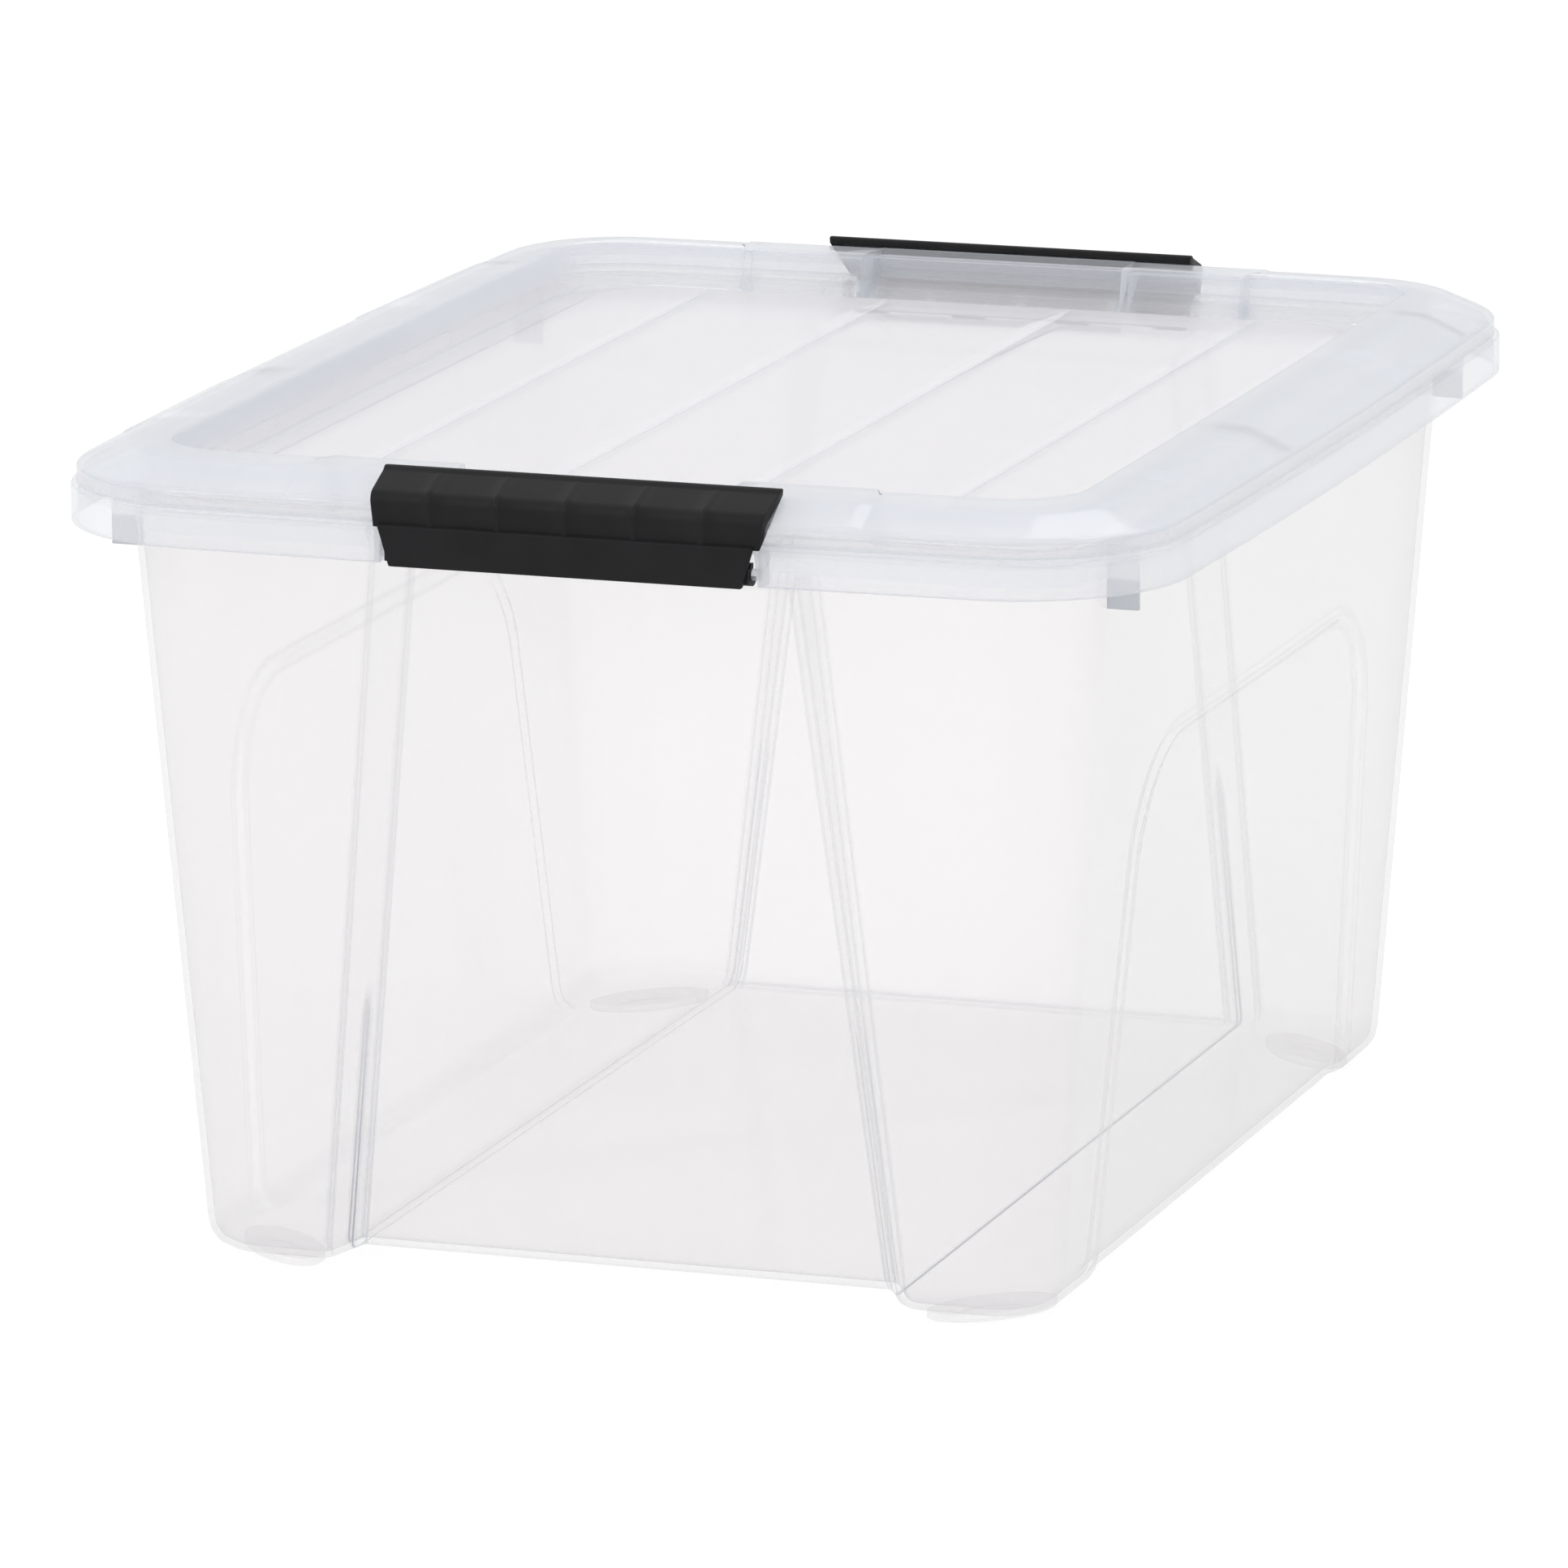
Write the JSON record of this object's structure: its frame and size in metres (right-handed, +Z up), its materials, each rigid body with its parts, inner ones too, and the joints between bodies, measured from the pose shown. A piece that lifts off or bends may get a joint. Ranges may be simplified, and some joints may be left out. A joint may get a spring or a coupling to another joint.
{
  "type": "stackable storage bin",
  "caption": "Clear tapered plastic storage bin with a sunken-panel stacking lid that lifts off, held at each end by a black hinged latch that hooks over the lid's rim.",
  "frame": {"origin": "on the floor under the middle of the bin", "axes": "+Z up, +Y from the front latch to the rear latch, along the bin's length, +X across its width to the right"},
  "size_m": [0.3998, 0.496, 0.2874],
  "materials": {
    "clear_polypropylene": "smooth moulded, see-through with a slight haze",
    "clear_lid_polypropylene": "smooth moulded, see-through with a slight cool haze",
    "black_polypropylene": "satin, fine spark-eroded texture"
  },
  "bodies": {
    "bin": {"bin_body": "clear_polypropylene"},
    "lid": {"lid": "clear_lid_polypropylene"},
    "front_latch": {"front_latch": "black_polypropylene"},
    "rear_latch": {"rear_latch": "black_polypropylene"}
  },
  "joints": [
    {"name": "lid_lift", "type": "slide", "parent": "bin", "child": "lid", "axis": [0, 0, 1], "range_m": [0, 0.04]},
    {"name": "front_latch_hinge", "type": "hinge", "parent": "bin", "child": "front_latch", "pos_m": [0, -0.241, 0.2606], "axis": [1, 0, 0], "range_deg": [0, 155]},
    {"name": "rear_latch_hinge", "type": "hinge", "parent": "bin", "child": "rear_latch", "pos_m": [0, 0.241, 0.2606], "axis": [-1, 0, 0], "range_deg": [0, 155]}
  ],
  "couplings": [
    {"joint": "front_latch_hinge", "follows": "lid_lift", "rad_per_m": 67.6},
    {"joint": "rear_latch_hinge", "follows": "lid_lift", "rad_per_m": 67.6}
  ]
}
